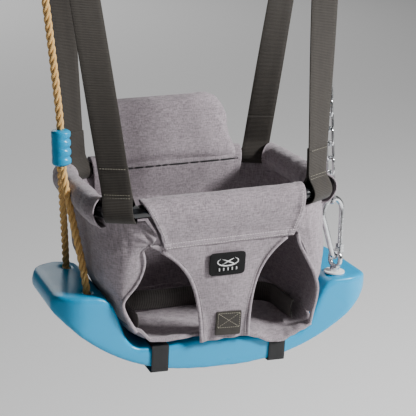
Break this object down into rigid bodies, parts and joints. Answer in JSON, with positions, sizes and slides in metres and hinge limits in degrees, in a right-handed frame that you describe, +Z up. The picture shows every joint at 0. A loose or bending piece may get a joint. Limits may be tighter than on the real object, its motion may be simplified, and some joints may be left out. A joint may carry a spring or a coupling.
{
  "type": "toddler bucket swing",
  "caption": "Fabric toddler bucket on a tube rim, hung by webbing and tied onto a curved moulded seat board, with a rope hanger on the left and a chain with a snap hook on the right.",
  "frame": {"origin": "on the hanging axis, half way between the two top links, at the centre of their straight lower bars", "axes": "+X to the right as seen from the front, +Y from the front to the back, +Z up"},
  "size_m": [0.5031, 0.2808, 0.9749],
  "materials": {
    "board_plastic": "blow-moulded, satin gloss with fine grain",
    "bucket_cloth": "heathered woven polyester",
    "dark_webbing": "ribbed polypropylene webbing, 40 mm",
    "thin_webbing": "thin black webbing, 25 mm",
    "rope_fibre": "three-strand laid polyhemp rope",
    "zinc_steel": "bright zinc plate",
    "rim_black": "gloss black powder coat",
    "label_cloth": null,
    "washer_white": "moulded nylon",
    "slider_black": "moulded acetal",
    "seat_foam": "closed-cell foam"
  },
  "bodies": {
    "hangers": {"hanger_link_left": "zinc_steel", "hanger_link_right": "zinc_steel"},
    "gate": {"hook_gate": "zinc_steel"},
    "slider_left": {"board_strap_slider_left": "slider_black"},
    "slider_right": {"board_strap_slider_right": "slider_black"},
    "swing": {"rim_frame": "rim_black", "front_tunnel": "bucket_cloth", "rear_tunnel": "bucket_cloth", "front_apron": "bucket_cloth", "label_patch": "label_cloth", "crotch_patch": "dark_webbing", "rear_panel": "bucket_cloth", "backrest_foam": "seat_foam", "backrest_cover": "bucket_cloth", "seat_panel": "bucket_cloth", "seat_webbing": "dark_webbing", "board": "board_plastic", "rope_clamp": "board_plastic", "rope_main": "rope_fibre", "rope_eye": "rope_fibre", "rope_whipping": "rope_fibre", "rope_front_leg": "rope_fibre", "rope_front_knot": "rope_fibre", "rope_rear_leg": "rope_fibre", "rope_rear_knot": "rope_fibre", "chain": "zinc_steel", "hook_body": "zinc_steel", "gate_pin": "zinc_steel", "eye_bolt": "zinc_steel", "eye_washer": "washer_white", "nut_washer": "zinc_steel", "lock_nut": "zinc_steel", "strap_left": "dark_webbing", "side_tunnel_left": "bucket_cloth", "side_panel_left": "bucket_cloth", "leg_binding_left": "bucket_cloth", "front_flap_left": "bucket_cloth", "board_strap_left": "thin_webbing", "strap_right": "dark_webbing", "side_tunnel_right": "bucket_cloth", "side_panel_right": "bucket_cloth", "leg_binding_right": "bucket_cloth", "front_flap_right": "bucket_cloth", "board_strap_right": "thin_webbing"}
  },
  "joints": [
    {"name": "swing_pivot", "type": "hinge", "parent": "hangers", "child": "swing", "pos_m": [0, 0, 0], "axis": [1, 0, 0], "range_deg": [-50, 50]},
    {"name": "gate_pivot", "type": "hinge", "parent": "swing", "child": "gate", "pos_m": [0.20852, -0.05173, -0.75827], "axis": [0.3412, -0.9374, 0.0691], "range_deg": [0, 24], "stiffness_Nm_per_rad": 0.05, "springref_deg": -8.59},
    {"name": "slider_left_slide", "type": "slide", "parent": "swing", "child": "slider_left", "axis": [0, 1, 0], "range_m": [-0.015, 0.015]},
    {"name": "slider_right_slide", "type": "slide", "parent": "swing", "child": "slider_right", "axis": [0, 1, 0], "range_m": [-0.015, 0.015]}
  ]
}
